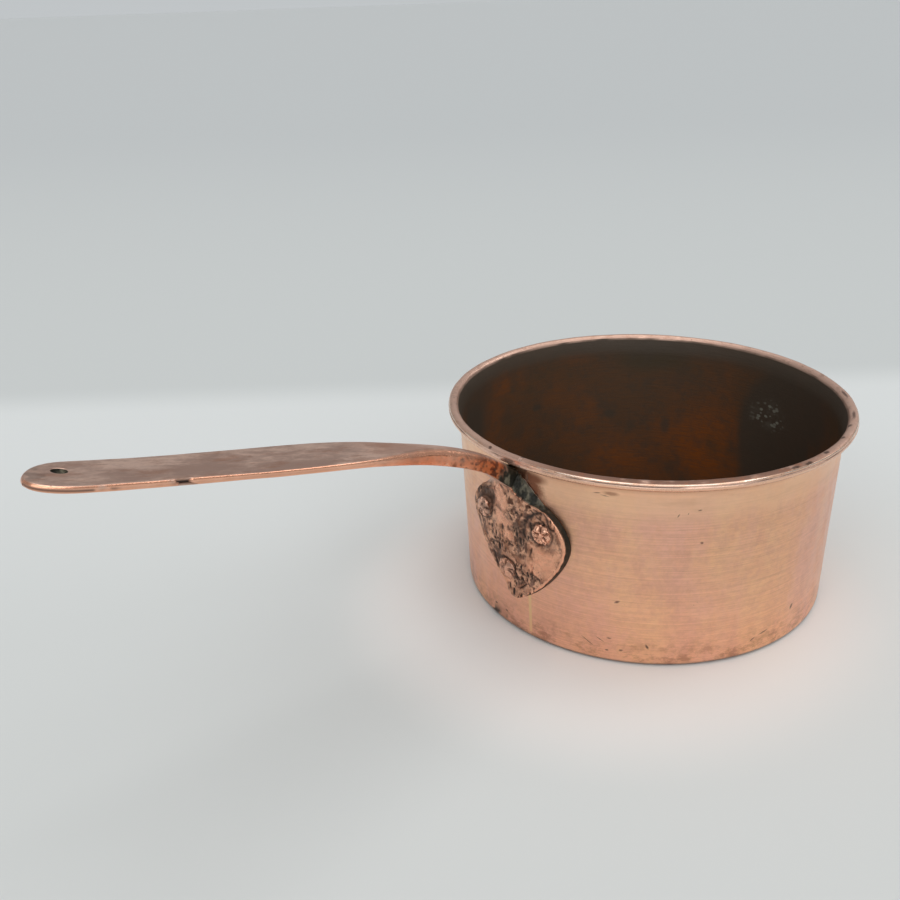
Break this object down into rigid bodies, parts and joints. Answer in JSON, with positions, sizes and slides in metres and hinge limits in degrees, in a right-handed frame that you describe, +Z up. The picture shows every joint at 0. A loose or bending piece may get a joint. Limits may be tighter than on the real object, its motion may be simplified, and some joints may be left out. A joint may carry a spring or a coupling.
{
  "type": "copper saucepan",
  "caption": "Long-handled copper saucepan with a wired rim, a brazed seam and a riveted, forged handle with a hanging hole.",
  "frame": {"origin": "centre of the base's rest face, where the pot stands", "axes": "+Z up out of the pot's mouth, -X along the handle, +Y to the left of someone who looks along +X"},
  "size_m": [0.4203, 0.21, 0.1624],
  "materials": {
    "copper": "satin rose copper with fine horizontal rubbing, dark browned inside",
    "handle_copper": "browned, pitted forged copper, bright on its near edge",
    "rivet_copper": "bright hammered copper",
    "braze": "pale yellow spelter",
    "wire": "dark iron wire, hidden in the rim"
  },
  "bodies": {
    "root": {"pot_wall": "copper", "pot_base": "copper", "side_seam_braze": "braze", "base_seam_braze": "braze", "rim_wire": "wire", "handle": "handle_copper", "rivet_left": "rivet_copper", "rivet_right": "rivet_copper", "rivet_bottom": "rivet_copper"}
  },
  "joints": []
}
